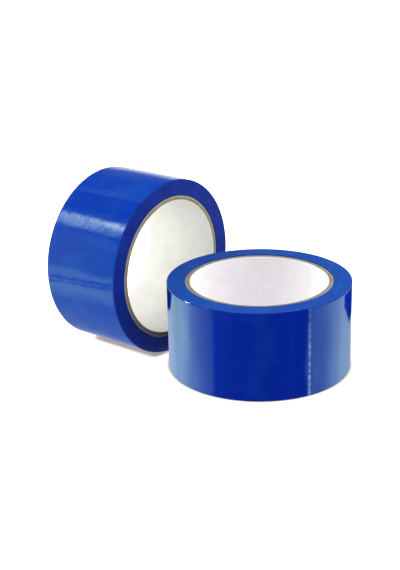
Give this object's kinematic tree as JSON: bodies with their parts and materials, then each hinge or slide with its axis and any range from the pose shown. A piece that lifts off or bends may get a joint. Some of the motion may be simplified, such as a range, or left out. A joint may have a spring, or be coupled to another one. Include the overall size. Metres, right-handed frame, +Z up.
{
  "type": "pair of packing tape rolls",
  "caption": "Two rolls of glossy blue carton sealing tape on paper cores, one lying flat and one standing on its rim against it, with free ends that peel back.",
  "frame": {"origin": "centre of the lying roll's base, on the surface that both rolls stand on", "axes": "+Z up along the lying roll's axis; +Y away from the viewer's side; the standing roll lies towards -X and +Y, its axis level"},
  "size_m": [0.1704, 0.1413, 0.1006],
  "materials": {
    "film": "gloss",
    "core_liner": "matte",
    "core_board": "matte",
    "core_cover": "matte"
  },
  "bodies": {
    "lying_roll": {"lying_core_liner": "core_liner", "lying_core_ply_1": "core_board", "lying_core_ply_2": "core_board", "lying_core_ply_3": "core_board", "lying_core_ply_4": "core_board", "lying_core_cover": "core_cover", "lying_film_pack": "film", "lying_film_last_lap": "film"},
    "lying_free_end": {"lying_film_end": "film"},
    "standing_roll": {"standing_core_liner": "core_liner", "standing_core_ply_1": "core_board", "standing_core_ply_2": "core_board", "standing_core_ply_3": "core_board", "standing_core_ply_4": "core_board", "standing_core_cover": "core_cover", "standing_film_pack": "film", "standing_film_last_lap": "film"},
    "standing_free_end": {"standing_film_end": "film"}
  },
  "joints": [
    {"name": "lying_end_peel", "type": "hinge", "parent": "lying_roll", "child": "lying_free_end", "pos_m": [0.0126, -0.04969, 0.025], "axis": [0, 0, -1], "range_deg": [0, 120]},
    {"name": "standing_roll_turn", "type": "hinge", "parent": "lying_roll", "child": "standing_roll", "pos_m": [-0.06947, 0.03469, 0.05032], "axis": [-0.8111, 0.585, 0], "continuous": true},
    {"name": "standing_end_peel", "type": "hinge", "parent": "standing_roll", "child": "standing_free_end", "pos_m": [-0.09172, 0.00384, 0.08329], "axis": [0.8111, -0.585, 0], "range_deg": [0, 120]}
  ]
}
